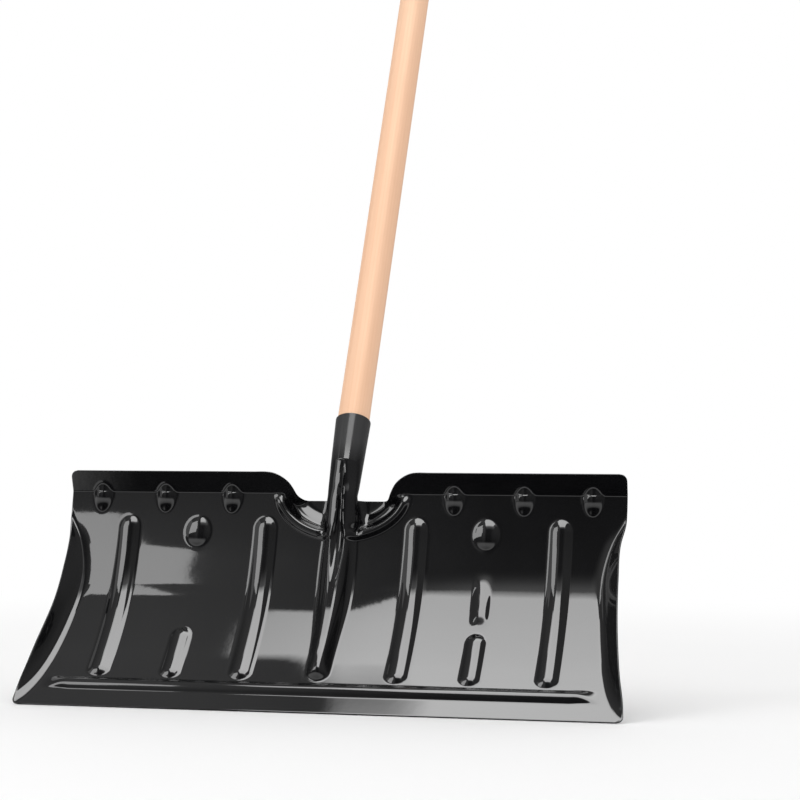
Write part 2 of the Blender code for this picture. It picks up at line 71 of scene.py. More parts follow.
ARC_RUN, ARC_HALF_W, ARC_DEPTH = 250.0, 65.0, 45.0   # arc-shaped bead below the notch
ARC_BEAD_H = 3.2
FIRST_DROP, SHOULDER_DROP = 12.0, 17.0
THROAT = 24.0                     # half width, in col, of the throat below the socket
THROAT_RUN = 196.0
TONGUE = 18.0                     # half width, in col, of the strip rolled into the socket
SQUEEZE_RUN = 200.0               # above here the rows close up to follow the top edge
STRETCH_COL = 250.0               # outside here the columns stretch to the side edge

# ---------------------------------------------------------------- sizes of socket, handle, screw
HANDLE_LEAN = math.radians(29.0)
AXIS = np.array((0.0, math.sin(HANDLE_LEAN), math.cos(HANDLE_LEAN)))
FRONT = np.array((0.0, -math.cos(HANDLE_LEAN), math.sin(HANDLE_LEAN)))
MOUTH = np.array((0.0, 168.6, 278.1))
MOUTH_R = 17.9
SOCKET_TAPER = 0.030
SEAM = math.radians(178.4)        # half angle the rolled tongue covers
RING_AT = -78.0                   # where the throat becomes the socket
HANDLE_R = 16.2
HANDLE_TOP = 1129.0
HANDLE_IN = 52.0
HANDLE_GAP = 0.5
TIP_L, TIP_INSET = 8.0, 5.0       # rounding of the handle's top
SCREW_AT = -26.0
SCREW_ANGLE = math.radians(150.0)
SCREW_HEAD_H = 2.5
BORE_R = 2.5


# ---------------------------------------------------------------- curves
def step(x):
    x = np.clip(x, 0.0, 1.0)
    return x * x * x * (10.0 - 15.0 * x + 6.0 * x * x)


def table(pairs, x):
    """Straight lines through the pairs."""
    points = np.array(pairs, float)
    return np.interp(x, points[:, 0], points[:, 1])


def smooth_table(pairs, x):
    """Cubic pieces through the pairs."""
    points = np.array(pairs, float)
    x = np.asarray(x, float)
    slope = np.gradient(points[:, 1], points[:, 0])
    i = np.clip(np.searchsorted(points[:, 0], x, side="right") - 1, 0, len(points) - 2)
    gap = points[i + 1, 0] - points[i, 0]
    part = np.clip((x - points[i, 0]) / gap, 0, 1)
    return ((2 * part ** 3 - 3 * part ** 2 + 1) * points[i, 1]
            + (part ** 3 - 2 * part ** 2 + part) * gap * slope[i]
            + (-2 * part ** 3 + 3 * part ** 2) * points[i + 1, 1]
            + (part ** 3 - part ** 2) * gap * slope[i + 1])


def eased(pairs, sigma):
    """Table rounded off with a bell curve, as a pair of arrays for np.interp."""
    stations = np.arange(-40.0, 341.0, 1.0)
    bell = np.exp(-0.5 * (np.arange(-24.0, 25.0) / sigma) ** 2)
    padded = np.pad(table(pairs, stations), 24, mode="edge")
    return stations, np.convolve(padded, bell / bell.sum(), "valid")


def hat(ratio, flat):
    """1 where the ratio is under flat, easing to 0 at 1."""
    return step((1.0 - np.abs(ratio)) / (1.0 - flat))


def arch(ratio):
    """Round top with a softened foot: 1 at 0, 0 from 1 outwards."""
    knee = 0.75
    ratio = np.minimum(np.abs(ratio), 1.0)
    side = knee * (1.0 - knee)
    foot = np.clip((ratio - knee) / (1.0 - knee), 0.0, 1.0)
    area = (0.5 * np.maximum(knee * knee - ratio * ratio, 0.0)
            + side * (0.5 - (foot - foot ** 3 + 0.5 * foot ** 4)))
    return area / (0.5 * knee * knee + 0.5 * side)


def soft_positive(value, blur):
    """max(value, 0) with its corner rounded over +-blur."""
    return np.where(value > blur, value,
                    np.where(value < -blur, 0.0, (value + blur) ** 2 / (4.0 * blur)))


# ---------------------------------------------------------------- profile and outline of the sheet
def running_sum(values):
    areas = 0.5 * (values[1:] + values[:-1]) * np.diff(PROFILE_RUN)
    return np.concatenate([[0.0], np.cumsum(areas)])


PROFILE_RUN = np.linspace(0.0, 300.0, 3001)
PROFILE_LEAN = np.radians(table(LEAN, PROFILE_RUN))
PROFILE_Y = -0.5 * SHEET * math.cos(PROFILE_LEAN[0]) + running_sum(np.sin(PROFILE_LEAN))
PROFILE_Z = 0.5 * SHEET * math.sin(PROFILE_LEAN[0]) + running_sum(np.cos(PROFILE_LEAN))


def on_profile(run):
    """Place (y, z) and front-facing normal (y, z) of the plain sheet."""
    lean = np.radians(table(LEAN, run))
    return (np.interp(run, PROFILE_RUN, PROFILE_Y), np.interp(run, PROFILE_RUN, PROFILE_Z),
            -np.cos(lean), np.sin(lean))


def corner_loss(distance, radius):
    """What a rounded corner takes off the half width at a distance from the end."""
    left = np.sqrt(np.maximum(radius * radius - (radius - distance) ** 2, 0))
    return np.where(distance < radius, radius - left, 0)


SIDE_EDGE = (                     # run, half width
    (0, 297.0), (20, 294.6), (45, 290.0), (80, 285.6), (120, 282.0), (160, 280.4),
    (200, 280.5), (222, 284.4), (250, HALF_W), (300, HALF_W))
TOP_EDGE = (                      # distance from the middle, run of the edge
    (36, NOTCH_RUN), (40, NOTCH_RUN), (44, NOTCH_RUN + 0.6), (47, 245.6), (49.3, 249),
    (51.3, 253), (54, 257.5), (58, 261.8), (62.5, 265.2), (67, 267.7), (72, 269.4),
    (NOTCH_HALF_W, TOP_RUN), (90, TOP_RUN), (400, TOP_RUN))


def edge_x(run):
    width = smooth_table(SIDE_EDGE, run)
    return width - corner_loss(run, 6.0) - corner_loss(TOP_RUN - run, 7.0)


def top_run(col):
    col = np.abs(col)
    return np.where(col < 40.0, NOTCH_RUN, smooth_table(TOP_EDGE, col))


# ---------------------------------------------------------------- pressings, as heights to the front
def arc_distance(x, run):
    """Distance inside the arc, negative outside."""
    x = np.abs(x)
    below = np.minimum(run - ARC_RUN, 0)
    ratio = np.sqrt((x / ARC_HALF_W) ** 2 + (below / ARC_DEPTH) ** 2)
    slope = np.sqrt((x / ARC_HALF_W ** 2) ** 2 + (below / ARC_DEPTH ** 2) ** 2)
    slope = slope / np.maximum(ratio, 1e-6)
    return (1.0 - ratio) / np.maximum(slope, 1e-6)


def plate(x, run):
    """Arc-shaped bead and the sunken area inside it."""
    inside = arc_distance(x, run)
    fade = 1.0 - step((run - 236.0) / 14.0) * step((np.abs(x) - 38.0) / 12.0)
    arc_bead = ARC_BEAD_H * hat(inside / 7.0, 0.15)
    drop = (-FIRST_DROP * step((inside - 1.0) / 11.0)
            - (SHOULDER_DROP - FIRST_DROP) * step((inside - 8.0) / 18.0))
    return (arc_bead + drop) * fade


WING_FOLD = eased((               # run, x where the wing begins to rise
    (0, 298), (10, 294), (20, 290), (33, 286), (51, 282.2), (70, 278.3), (91, 274), (108, 271),
    (125, 268.3), (140, 266), (157, 264.5), (171, 265.5), (188, 269.5), (203, 274.5),
    (217, 281.3), (224, 286), (240, 289), (300, 292)), 7.0)
WING_RISE = eased((               # run, height of the wing's edge
    (0, 0), (8, 1.8), (20, 5.5), (35, 10), (50, 13.8), (70, 17), (95, 17.6), (120, 16.8),
    (145, 16), (165, 14.5), (190, 11.5), (205, 7), (216, 2), (224, 0), (300, 0)), 5.0)
WING_BLUR = ((0, 14.0), (60, 13.0), (110, 9.0), (160, 4.0), (300, 4.0))   # run, half width of fold
WING_EARLY = ((0, 0.0), (120, 0.0), (150, 0.10), (200, 0.10), (224, 0.0), (300, 0.0))  # run, slope


def wing(x, run):
    """Forward curl of the sheet's two sides."""
    x = np.abs(x)
    fold, rise = np.interp(run, *WING_FOLD), np.interp(run, *WING_RISE)
    blur = table(WING_BLUR, run)
    early = table(WING_EARLY, run)

    def roll(past):
        part = np.clip((past + blur) / (2.0 * blur), 0.0, 1.0)
        return (2.0 * blur * (part ** 3 - 0.5 * part ** 4) + np.maximum(past - blur, 0.0)
                + early * soft_positive(past + 9.0, 4.0))

    return np.maximum(rise, 0) * roll(x - fold) / np.maximum(roll(edge_x(run) - fold), 0.5)


def rib(x, run, middle, top, half_w, height):
    """Upright rib with tapered ends."""
    low, high = 1.2, 0.9
    over = np.maximum(np.maximum((RIB_LOW + half_w / low - run) * low,
                                 (run - top + half_w / high) * high), 0.0)
    return height * arch(np.sqrt((x - middle) ** 2 + over ** 2) / half_w)


SPINE_WIDTH = (                   # run, half width
    (30, 11.5), (47, 13), (92, 15.5), (137, 19.5), (180, 20.5), (205, 19.5), (240, 19))
SPINE_HEIGHT = (                  # run, height
    (36, 3.0), (50, 8.5), (92, 11), (140, 12), (180, 12), (205, 10.5), (222, 9.5),
    (NOTCH_RUN, 8.5))
GROOVE_DEPTH = (                  # run, depth
    (150, 0), (160, 0.8), (175, 3), (190, 5), (205, 5.5), (219, 4), (NOTCH_RUN, 3.2))
GROOVE_WIDTH = (                  # run, half width
    (150, 7), (175, 9), (190, 10), (205, 9), (219, 5.2), (NOTCH_RUN, 3.4))


def spine_height(run):
    return smooth_table(SPINE_HEIGHT, run)


def spine(x, run):
    """Wide ridge up the middle, round at its lower end."""
    over = np.maximum(50.0 - run, 0) * 1.15
    ratio = np.sqrt((x / smooth_table(SPINE_WIDTH, run)) ** 2 + (over / 13.0) ** 2)
    end = step((72.0 - run) / 24.0)
    return spine_height(run) * (hat(ratio, 0.12) * (1.0 - end) + arch(ratio) * end)


def groove(x, run):
    """Groove down the middle of the upper spine."""
    depth = smooth_table(GROOVE_DEPTH, run)
    width = smooth_table(GROOVE_WIDTH, run)
    return np.where(run > 150, depth * hat(x / width, 0.08), 0.0)


def dart(x, run):
    """Small pointed swelling across the top bend."""
    above = soft_positive(run - 248.3, 1.5)
    below = np.maximum(DART_RUN - run, 0.0) / DART_L
    swell = DART_H * (1.0 - (x / DART_HALF_W) ** 2 - below ** 2)
    return soft_positive(swell - 0.48 * above, 0.9)


def bead(x, run):
    """Low bead along the bottom edge, fading out at its ends."""
    end = np.clip((x - (BEAD_END - 30.0)) / 30.0, 0.0, 1.0)
    above = run - (BEAD_RUN - 5.5 * end ** 2)
    width = np.where(above > 0, BEAD_HALF_W * (1.0 + 0.5 * end), BEAD_HALF_W * (1.0 - 0.62 * end))
    return BEAD_H * (1.0 - step(end)) * arch(above / width)


def ridge(x, run):
    """Faint ridge above the short rib, on the +X side only."""
    rise = step((run - (RIBS[1][1] + 2.0)) / 20.0) * (1.0 - step((run - 128.0) / 46.0))
    return 2.3 * rise * arch((x - RIB_X[1]) / 10.8)


def relief(x, run):
    """All pressings but the spine."""
    side = np.abs(x)
    extra = ridge(x, run)
    for sizes in RIBS:
        extra = np.maximum(extra, rib(side, run, *sizes))
    dimple = np.sqrt(((side - RIB_X[1]) / DIMPLE_HALF_W) ** 2
                     + ((run - DIMPLE_RUN) / DIMPLE_HALF_L) ** 2)
    extra = np.maximum(extra, DIMPLE_H * arch(dimple))
    for middle in DART_X:
        extra = np.maximum(extra, dart(side - middle, run))
    return plate(x, run) + np.maximum(extra, bead(side, run)) + wing(x, run)


# ---------------------------------------------------------------- surface points
def throat_section(col, run):
    """(x, height) across the throat: an oval arc, then a curve out to the plate."""
    width = table(((THROAT_RUN, 17.5), (NOTCH_RUN, 15.6)), run)
    middle = table(((THROAT_RUN, 1.0), (NOTCH_RUN, -1.0)), run)
    front = spine_height(run)
    last = np.radians(table(((THROAT_RUN, 78), (216, 92), (NOTCH_RUN, 118)), run))
    part, arc_part = col / THROAT, 0.68

    def oval(angle):
        radius = np.where(angle < math.pi / 2, front - middle, width)
        return width * np.sin(angle), middle + radius * np.cos(angle), radius

    arc_x, arc_h, _ = oval(last * np.minimum(part / arc_part, 1.0))
    end_h = plate(np.full_like(run, THROAT), run)
    x0, height0, radius = oval(last)
    tangent_x, tangent_h = width * np.cos(last), -radius * np.sin(last)
    length = np.hypot(tangent_x, tangent_h)
    reach = 0.45 * np.hypot(THROAT - x0, end_h - height0)
    x1, height1 = x0 + tangent_x / length * reach, height0 + tangent_h / length * reach
    x2 = THROAT - 0.55 * (THROAT - x0)
    u = np.clip((part - arc_part) / (1 - arc_part), 0, 1)
    w0, w1, w2, w3 = (1 - u) ** 3, 3 * u * (1 - u) ** 2, 3 * u * u * (1 - u), u ** 3
    curve_x = w0 * x0 + w1 * x1 + w2 * x2 + w3 * THROAT
    curve_h = w0 * height0 + w1 * height1 + w2 * end_h + w3 * end_h
    on_arc = part < arc_part
    return np.where(on_arc, arc_x, curve_x), np.where(on_arc, arc_h, curve_h)


def blade_point(col, run):
    col, run = np.broadcast_arrays(np.asarray(col, float), np.asarray(run, float))
    side = np.abs(col)
    stretch = (edge_x(run) - STRETCH_COL) / (HALF_W - STRETCH_COL)
    x = np.where(side > STRETCH_COL, STRETCH_COL + (side - STRETCH_COL) * stretch, side)
    base = relief(np.sign(col) * x, run)
    blend = np.clip(spine(side, run) / np.maximum(spine_height(run), 1e-6), 0, 1)
    height = np.where(side < 40, base * (1 - blend) + spine_height(run) * blend, base)
    in_throat = side <= THROAT
    throat_x, throat_h = throat_section(np.minimum(side, THROAT), run)
    k = np.where(in_throat, step((run - THROAT_RUN) / (222.0 - THROAT_RUN)), 0.0)
    x = x * (1 - k) + np.where(in_throat, throat_x, x) * k
    height = height * (1 - k) + np.where(in_throat, throat_h, height) * k
    height = height - np.where(side < 30, groove(x, run), 0)
    y, z, normal_y, normal_z = on_profile(run)
    return np.stack([np.sign(col) * x, y + normal_y * height, z + normal_z * height], -1)


SOCKET_PRESS = (                  # along, flattening of the socket's front
    (-96, 9.2), (-78, 6.2), (-66, 3.6), (-56, 1.3), (-53.5, 0.6), (-52, 0), (0, 0))
SOCKET_GROOVE_DEPTH = ((-96, 3.2), (-78, 2.8), (-66, 2.0), (-57, 0.8), (-52, 0), (0, 0))
SOCKET_GROOVE_WIDTH = ((-96, 3.4), (-78, 3.0), (-66, 2.6), (-52, 2.2), (0, 2.2))


def socket_r(along):
    return MOUTH_R + SOCKET_TAPER * along


def socket_point(col, along):
    col, along = np.broadcast_arrays(np.asarray(col, float), np.asarray(along, float))
    angle = SEAM * col / TONGUE
    radius = socket_r(along)
    press = smooth_table(SOCKET_PRESS, along)
    depth = smooth_table(SOCKET_GROOVE_DEPTH, along)
    width = smooth_table(SOCKET_GROOVE_WIDTH, along)
    x = radius * np.sin(angle)
    pressed = (np.cos(angle) > 0) & (along < -52)
    forward = np.where(pressed, (radius - press) * np.cos(angle) - depth * hat(x / width, 0.08),
                       radius * np.cos(angle))
    return (MOUTH + along[..., None] * AXIS + forward[..., None] * FRONT
            + x[..., None] * np.array((1.0, 0, 0)))


def throat_to_ring(col, part):
    """Row between the blade's notch (part 0) and the socket's lowest ring (part 1)."""
    _, _, normal_y, normal_z = on_profile(NOTCH_RUN)
    up = np.array((0.0, normal_z, -normal_y))
    reach = 13.0
    low = blade_point(col, NOTCH_RUN) + (part * reach) * up
    high = socket_point(col, RING_AT) - ((1 - part) * reach) * AXIS
    k = step(part)
    return low * (1 - k) + high * k


# ---------------------------------------------------------------- mesh of the sheet
MIDDLE_GAPS = ((12, 0.5), (24, 0.65), (80, 1.25))            # col below which, spacing
FEATURE_GAPS = (                                             # middle x, reach, spacing
    (RIB_X[0], 14, 1.35), (RIB_X[1], 16.5, 1.35), (RIB_X[2], 14, 1.35),
    (DART_X[0], 11.5, 1.5), (DART_X[1], 11.5, 1.5), (DART_X[2], 11.5, 1.5))
ROW_GAPS = (                                                 # from run, to run, spacing
    (0, 12, 1.0), (12, 47, 0.8), (47, 56, 1.3), (86, 103, 1.5), (192, 246, 1.35),
    (246, 251, 0.42), (251, 266, 1.5), (266, 271, 0.9))
JOIN_RUN = 226.0                                             # throat is smoothed above here
JOIN_ROWS = 14                                               # rows between notch and ring


def column_spacing(col):
    for limit, gap in MIDDLE_GAPS:
        if col < limit:
            return gap
    for middle, reach, gap in FEATURE_GAPS:
        if abs(col - middle) < reach:
            return gap
    return 0.9 if col > 252 else 3.0


def row_spacing(run):
    for low, high, gap in ROW_GAPS:
        if low <= run < high:
            return gap
    return 2.6


def spaced(low, high, stops, spacing):
    """Stations from low to high whose spacing follows a function, passing through every stop."""
    out = [low]
    for end in sorted(stops) + [high]:
        fine = np.linspace(out[-1], end, 4000)
        gaps = np.array([spacing(x) for x in 0.5 * (fine[:-1] + fine[1:])])
        count = np.concatenate([[0.0], np.cumsum(np.diff(fine) / gaps)])
        total = max(1, int(math.ceil(count[-1])))
        out += list(np.interp(np.linspace(0, count[-1], total + 1)[1:], count, fine))
    return out


def grid_quads(index):
    return np.stack([index[:-1, :-1], index[:-1, 1:], index[1:, 1:], index[1:, :-1]],
                    -1).reshape(-1, 4)


def smooth_join(sheet, strip, rows, cols, tongue, count):
    """Runs the flattened throat into the rolled tube without a crease."""
    first = int(np.searchsorted(rows, JOIN_RUN))
    join = np.concatenate([sheet[first:, tongue], strip[:count]], 0)
    hold = ((1.0 - (np.abs(cols) / TONGUE) ** 4)[None, :]
            * step((rows[first:] - JOIN_RUN) / 16.0)[:, None])
    hold = np.concatenate([hold, np.ones((count, len(cols)))], 0)[1:-1, :, None]
    for _ in range(60):
        join[1:-1] += hold * (0.25 * (join[:-2] + join[2:]) - 0.5 * join[1:-1])
    sheet[first:, tongue] = join[:len(rows) - first]
    strip[:count] = join[len(rows) - first:]


def sheet_surface():
    """Front surface of blade and socket, as points and quads."""
    half = spaced(0.0, HALF_W, [TONGUE, THROAT], column_spacing)
    cols = np.array([-col for col in half[:0:-1]] + half)
    rows = np.array(spaced(0.0, TOP_RUN, [SQUEEZE_RUN, NOTCH_RUN, *TOP_BEND], row_spacing))
    k = np.maximum(rows - SQUEEZE_RUN, 0.0) / (TOP_RUN - SQUEEZE_RUN)
    squeezed = SQUEEZE_RUN + k[:, None] * (top_run(cols)[None, :] - SQUEEZE_RUN)
    runs = np.where(rows[:, None] > SQUEEZE_RUN, squeezed, rows[:, None])
    sheet = blade_point(np.broadcast_to(cols[None, :], runs.shape), runs)
    index = np.arange(runs.size).reshape(runs.shape)

    tongue = np.where(np.abs(cols) <= TONGUE + 1e-6)[0]
    strip_cols = cols[tongue]
    rings = [*np.arange(RING_AT, -54.0, 0.9), *np.arange(-54.0, -50.0, 0.5),
             *np.arange(-50.0, -3.0, 1.7), -2.2, -1.2, -0.5, 0.0]
    strip = [throat_to_ring(strip_cols, part) for part in np.linspace(0, 1, JOIN_ROWS + 2)[1:-1]]
    strip += [socket_point(strip_cols, along) for along in rings]
    strip = np.array(strip)
    count = JOIN_ROWS + int(np.sum(np.array(rings) < -60.0))
    smooth_join(sheet, strip, rows, strip_cols, tongue, count)

    strip_index = runs.size + np.arange(strip.shape[0] * len(strip_cols))
    strip_index = np.vstack([index[-1, tongue][None, :],
                             strip_index.reshape(strip.shape[0], -1)])
    return (np.vstack([sheet.reshape(-1, 3), strip.reshape(-1, 3)]),
            np.vstack([grid_quads(index), grid_quads(strip_index)]))


def vertex_normals(points, quads):
    corners = points[quads]
    face = np.cross(corners[:, 2] - corners[:, 0], corners[:, 3] - corners[:, 1])
    normals = np.zeros_like(points)
    for k in range(4):
        np.add.at(normals, quads[:, k], face)
    return normals / np.linalg.norm(normals, axis=1)[:, None]


def thicken(points, quads, thickness):
    """Closes a front surface into a sheet with a rounded rim all round its edge."""
    bulge, steps = 0.55, 4
    normals = vertex_normals(points, quads)
    back = points - normals * thickness
    total = len(points)
    # a dict keeps the edges in order, and with them the rim's vertices
    edges = dict.fromkeys((int(quad[i]), int(quad[(i + 1) % 4])) for quad in quads
                          for i in range(4))
    rim = [(a, b) for (a, b) in edges if (b, a) not in edges]
    follow = dict(rim)
    before = {b: a for a, b in rim}
    extra, rings = [], {}
    for i in follow:
        tangent = points[follow[i]] - points[before[i]]
        tangent /= np.linalg.norm(tangent)
        out = np.cross(tangent, normals[i])
        out /= np.linalg.norm(out)
        middle, half = 0.5 * (points[i] + back[i]), 0.5 * thickness
        ring = [i]
        for k in range(1, steps + 1):
            angle = math.pi * k / (steps + 1)
            ring.append(2 * total + len(extra))
            extra.append(middle + half * (math.cos(angle) * normals[i]
                                          + bulge * math.sin(angle) * out))
        ring.append(i + total)
        rings[i] = ring
    sides = []
    for a, b in rim:
        for k in range(steps + 1):
            sides.append((rings[b][k], rings[a][k], rings[a][k + 1], rings[b][k + 1]))
    return (np.vstack([points, back, np.array(extra)]),
            np.vstack([quads, quads[:, ::-1] + total, np.array(sides, int)]))


# ---------------------------------------------------------------- making and cutting objects
def add_object(name, data, material=None):
    made = bpy.data.objects.new(name, data)
    SCENE.collection.objects.link(made)
    if material:
        data.materials.append(material)
    return made


def shade(mesh, sharp):
    """Smooth shading with edges over sharp degrees kept hard."""
    mesh.shade_smooth()
    mesh.set_sharp_from_angle(angle=math.radians(sharp))


def mesh_piece(name, verts, faces, material, sharp=40.0):
    mesh = bpy.data.meshes.new(name)
    mesh.from_pydata((np.asarray(verts, float) * MM).tolist(), [],
                     [tuple(int(i) for i in face) for face in faces])
    mesh.update()
    shade(mesh, sharp)
    return add_object(name, mesh, material)


def axes_about(axis):
    """The unit axis and two directions square to it."""
    axis = np.asarray(axis, float) / np.linalg.norm(axis)
    first = np.cross(axis, (1.0, 0, 0))
    first /= np.linalg.norm(first)
    return axis, first, np.cross(axis, first)


def lathe(profile, origin, axis, segments, wobble=None):
    """Closed turned body: profile is (distance along axis, radius) from one end to the other."""
    axis, first, second = axes_about(axis)
    verts, faces = [], []
    for along, radius in profile:
        for k in range(segments):
            angle = 2 * math.pi * k / segments
            turned = radius * (1.0 + (wobble(along, angle) if wobble else 0.0))
            verts.append(origin + along * axis
                         + turned * (math.cos(angle) * first + math.sin(angle) * second))
    for j in range(len(profile) - 1):
        low, high = j * segments, (j + 1) * segments
        for k in range(segments):
            k2 = (k + 1) % segments
            faces.append((low + k, low + k2, high + k2, high + k))
    for row, flip in ((0, True), (len(profile) - 1, False)):
        centre = len(verts)
        verts.append(origin + profile[row][0] * axis)
        for k in range(segments):
            a, b = row * segments + k, row * segments + (k + 1) % segments
            faces.append((centre, b, a) if flip else (centre, a, b))
    return verts, faces


def cross_body(origin, axis, depth, reach, half):
    """Tapered cross-shaped body, narrowing inwards."""
    axis, first, second = axes_about(axis)
    plan = []
    for quarter in range(4):
        angle = quarter * math.pi / 2
        cos, sin = math.cos(angle), math.sin(angle)
        for x, y in ((half, -half), (reach, -half), (reach, half)):
            plan.append((x * cos - y * sin, x * sin + y * cos))
    verts, faces = [], []
    for distance, scale in ((0.6, 1.12), (-depth, 0.45)):
        for x, y in plan:
            verts.append(origin + distance * axis + scale * (x * first + y * second))
    n = len(plan)
    for i in range(n):
        j = (i + 1) % n
        faces.append((j, i, n + i, n + j))
    faces.append(tuple(range(n)))
    faces.append(tuple(range(2 * n - 1, n - 1, -1)))
    return verts, faces


def cut(target, tool, sharp):
    """Takes the tool's shape out of the target, then removes the tool."""
    cutting = target.modifiers.new("cut", "BOOLEAN")
    cutting.operation = "DIFFERENCE"
    cutting.solver = "EXACT"
    cutting.object = tool
    depsgraph = bpy.context.evaluated_depsgraph_get()
    mesh = bpy.data.meshes.new_from_object(target.evaluated_get(depsgraph))
    target.modifiers.clear()
    target.data = mesh
    bpy.data.objects.remove(tool, do_unlink=True)
    shade(target.data, sharp)


# ---------------------------------------------------------------- node building
BLACK, WHITE = (0, 0, 0), (1, 1, 1)


class Nodes:
    """Short way to build the node tree of a material or world.  Colours are given as RGB."""

    def __init__(self, owner):
        owner.use_nodes = True
        self.owner = owner
        self.nodes = owner.node_tree.nodes
        self.links = owner.node_tree.links

    def feed(self, socket, value):
        """Links another socket, or sets a value; None leaves the socket alone."""
        if value is None:
            return
        if isinstance(value, bpy.types.NodeSocket):
            self.links.new(value, socket)
        else:
            socket.default_value = (*value, 1.0) if socket.type == "RGBA" else value

    def add(self, kind, inputs=None, **settings):
        node = self.nodes.new(kind)
        for name, value in settings.items():
            setattr(node, name, value)
        for name, value in (inputs or {}).items():
            self.feed(node.inputs[name], value)
        return node

    def principled(self, inputs):
        for name, value in inputs.items():
            self.feed(self.nodes["Principled BSDF"].inputs[name], value)

    def coords(self, kind="Object"):
        return self.add("ShaderNodeTexCoord").outputs[kind]

    def split(self, vector):
        return tuple(self.add("ShaderNodeSeparateXYZ", {0: vector}).outputs)

    def math(self, operation, *values, clamp=False):
        return self.add("ShaderNodeMath", dict(enumerate(values)), operation=operation,
                        use_clamp=clamp).outputs[0]

    def times(self, value, factor):
        return self.math("MULTIPLY", value, factor)

    def plus(self, value, offset):
        return self.math("ADD", value, offset)

    def ramp(self, factor, stops):
        """Colour ramp; stops are (position, colour)."""
        node = self.add("ShaderNodeValToRGB", {0: factor})
        elements = node.color_ramp.elements
        while len(elements) < len(stops):
            elements.new(0.5)
        for element, (position, colour) in zip(elements, stops):
            element.position = position
            element.color = (*colour, 1.0)
        return node.outputs[0]

    def glide(self, value, between, levels=(0.0, 1.0), kind="SMOOTHSTEP"):
        """Goes through the levels between two values, which may be given in falling order."""
        (start, end), (low, high) = between, levels
        if start > end:
            start, end, low, high = end, start, high, low
        return self.add("ShaderNodeMapRange", {
            "From Min": start, "From Max": end, "To Min": low, "To Max": high,
            "Value": value}, interpolation_type=kind).outputs[0]

    def mix(self, factor, first, second):
        return self.add("ShaderNodeMix", {0: factor, 6: first, 7: second},
                        data_type="RGBA").outputs[2]

    def noise(self, vector, scale, detail, roughness):
        return self.add("ShaderNodeTexNoise", {
            "Scale": scale, "Detail": detail, "Roughness": roughness,
            "Vector": vector}).outputs[0]

    def mapping(self, vector, scale=(1, 1, 1), rotation=(0, 0, 0)):
        return self.add("ShaderNodeMapping", {
            "Scale": scale, "Rotation": rotation, "Vector": vector}).outputs[0]

    def bump(self, height, distance, normal=None):
        return self.add("ShaderNodeBump", {
            "Strength": 1.0, "Distance": distance, "Height": height,
            "Normal": normal}).outputs[0]

    def mix_to_output(self, factor, first, second):
        mixer = self.add("ShaderNodeMixShader", {0: factor, 1: first, 2: second})
        output = self.nodes.get("Material Output") or self.nodes["World Output"]
        self.feed(output.inputs["Surface"], mixer.outputs[0])


def material_nodes(name):
    return Nodes(bpy.data.materials.new(name))


# ---------------------------------------------------------------- materials
def black_paint():
    """Black gloss with slight waves and dust; a thinner, more satin coat on the socket."""
    nodes = material_nodes("black_gloss_paint")
    place = nodes.coords()
    fine = nodes.noise(place, scale=420.0, detail=2.0, roughness=0.5)
    peel = nodes.noise(place, scale=150.0, detail=2.0, roughness=0.45)
    waves = nodes.noise(place, scale=14.0, detail=2.0, roughness=0.4)
    patch = nodes.noise(place, scale=9.0, detail=4.0, roughness=0.6)
    speck = nodes.noise(place, scale=900.0, detail=1.0, roughness=0.5)
    tone = nodes.ramp(patch, ((0.35, (0.0028, 0.0028, 0.0032)), (0.7, (0.0048, 0.0048, 0.0053))))
    dust = nodes.times(nodes.ramp(speck, ((0.70, BLACK), (0.78, WHITE))),
                       nodes.ramp(patch, ((0.45, BLACK), (0.7, WHITE))))
    rough = nodes.plus(nodes.times(patch, factor=0.03), nodes.times(fine, factor=0.015))
    rough = nodes.plus(rough, offset=0.02)
    rough = nodes.plus(rough, nodes.times(dust, factor=0.15))
    # satin rises with Z where the throat turns into the socket
    satin = nodes.glide(nodes.split(place)[2], between=(0.232, 0.262))
    satin_grey, dust_grey = (0.040, 0.040, 0.041), (0.16, 0.16, 0.16)
    full_gloss = 0.5
    tone = nodes.mix(satin, tone, satin_grey)
    nodes.principled({
        "Base Color": nodes.mix(nodes.times(dust, factor=0.10), tone, dust_grey),
        "Roughness": nodes.plus(rough, nodes.times(satin, factor=0.13)),
        "Specular IOR Level": nodes.math("SUBTRACT", full_gloss,
                                         nodes.times(satin, factor=0.26)),
        "Normal": nodes.bump(peel, distance=0.000010,
                             normal=nodes.bump(waves, distance=0.00012)),
        "IOR": 1.5})
    return nodes.owner


